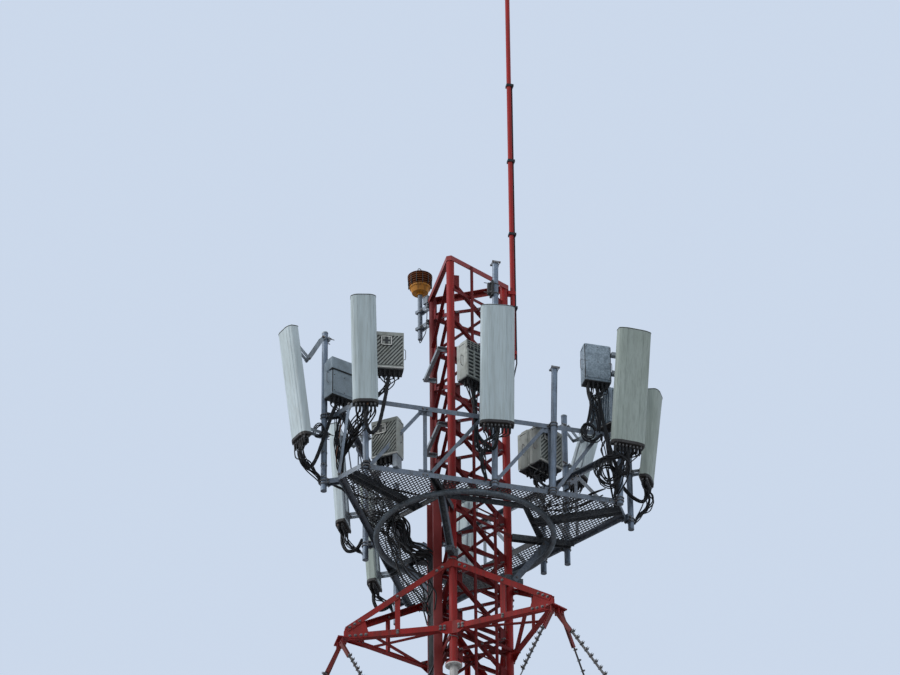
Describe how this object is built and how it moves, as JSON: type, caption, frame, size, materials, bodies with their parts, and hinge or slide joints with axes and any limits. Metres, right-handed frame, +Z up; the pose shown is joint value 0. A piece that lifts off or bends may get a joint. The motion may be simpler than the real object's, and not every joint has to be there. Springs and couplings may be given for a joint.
{
  "type": "guyed lattice cell tower top with sector antennas",
  "caption": "Top of a red and white guyed lattice mast with a triangular headframe of sector antennas and radios, star guy arms, an obstruction light and a lightning rod.",
  "frame": {"origin": "centre of the underside of the front leg's foot plate, at ground level", "axes": "+Z up along the mast, +Y from the front leg towards the mast's axis, +X to the right seen from the front leg's side"},
  "size_m": [8.188, 7.3141, 14.653],
  "materials": {
    "white_paint": "white paint on steel tube, weathered",
    "white_bracing_paint": "white paint on angles, weathered",
    "red_leg_paint": "red enamel on steel tube, faded",
    "red_bracing_paint": "red enamel on angles, faded",
    "red_arm_paint": "red enamel on bolted angles",
    "dark_red_paint": "dark red enamel",
    "grating_steel": "weathered zinc grating",
    "mesh_steel": "dark expanded metal",
    "cable_jacket": "black cable sheath",
    "rod_paint": "red enamel",
    "beacon_paint": "amber enamel, sooty",
    "galvanised": "hot-dip zinc",
    "platform_steel": "dark weathered zinc",
    "radome": "grey-green glass-fibre radome",
    "radio_case": "pale grey powder coat",
    "radio_case_bare": "bare cast aluminium",
    "strap_paint": "red enamel, worn",
    "rope_steel": "greased wire rope",
    "anchor_steel": "zinc-coated plate"
  },
  "bodies": {
    "root": {"base_legs": "white_paint", "base_bracing": "white_bracing_paint", "mast_leg_a": "red_leg_paint", "mast_leg_b": "red_leg_paint", "mast_leg_c": "red_leg_paint", "bracing_ab": "red_bracing_paint", "bracing_bc": "red_bracing_paint", "bracing_ca": "red_bracing_paint", "top_frame": "dark_red_paint", "plan_frames": "red_bracing_paint", "rest_platform": "grating_steel", "ladder": "red_bracing_paint", "cable_ladder": "dark_red_paint", "feeder_cables": "cable_jacket", "lightning_rod": "rod_paint", "down_conductor": "cable_jacket", "beacon": "beacon_paint", "beacon_bracket": "galvanised", "platform_beams": "platform_steel", "ring_pipe": "platform_steel", "headframe_front": "galvanised", "headframe_back": "galvanised", "headframe_left": "galvanised", "corner_ties": "galvanised", "floor_mesh": "mesh_steel", "antenna_pipes": "galvanised", "pipe_clamps": "galvanised", "antenna_front_left": "radome", "antenna_front_middle": "radome", "antenna_front_right": "radome", "antenna_back_right": "radome", "antenna_back_middle": "radome", "antenna_back_left": "radome", "antenna_left_front": "radome", "antenna_left_middle": "radome", "antenna_left_back": "radome", "antenna_brackets": "galvanised", "radio_front_left": "radio_case", "radio_front_low": "radio_case", "radio_front_middle": "radio_case", "radio_front_pair": "radio_case", "radio_front_right": "radio_case_bare", "radio_left_front": "radio_case_bare", "radio_back_right": "radio_case_bare", "radio_arms": "galvanised", "star_gussets": "red_arm_paint", "star_arm_right": "red_arm_paint", "star_arm_back": "red_arm_paint", "star_arm_left": "red_arm_paint", "guy_plates": "strap_paint", "guy_ropes": "rope_steel", "guy_anchors": "anchor_steel", "jumpers_front_left": "cable_jacket", "jumpers_front_middle": "cable_jacket", "jumpers_front_right": "cable_jacket", "jumpers_back_right": "cable_jacket", "jumpers_left_front": "cable_jacket", "jumpers_left_middle": "cable_jacket", "jumpers_left_back": "cable_jacket", "jumpers_front_pair": "cable_jacket"}
  },
  "joints": []
}
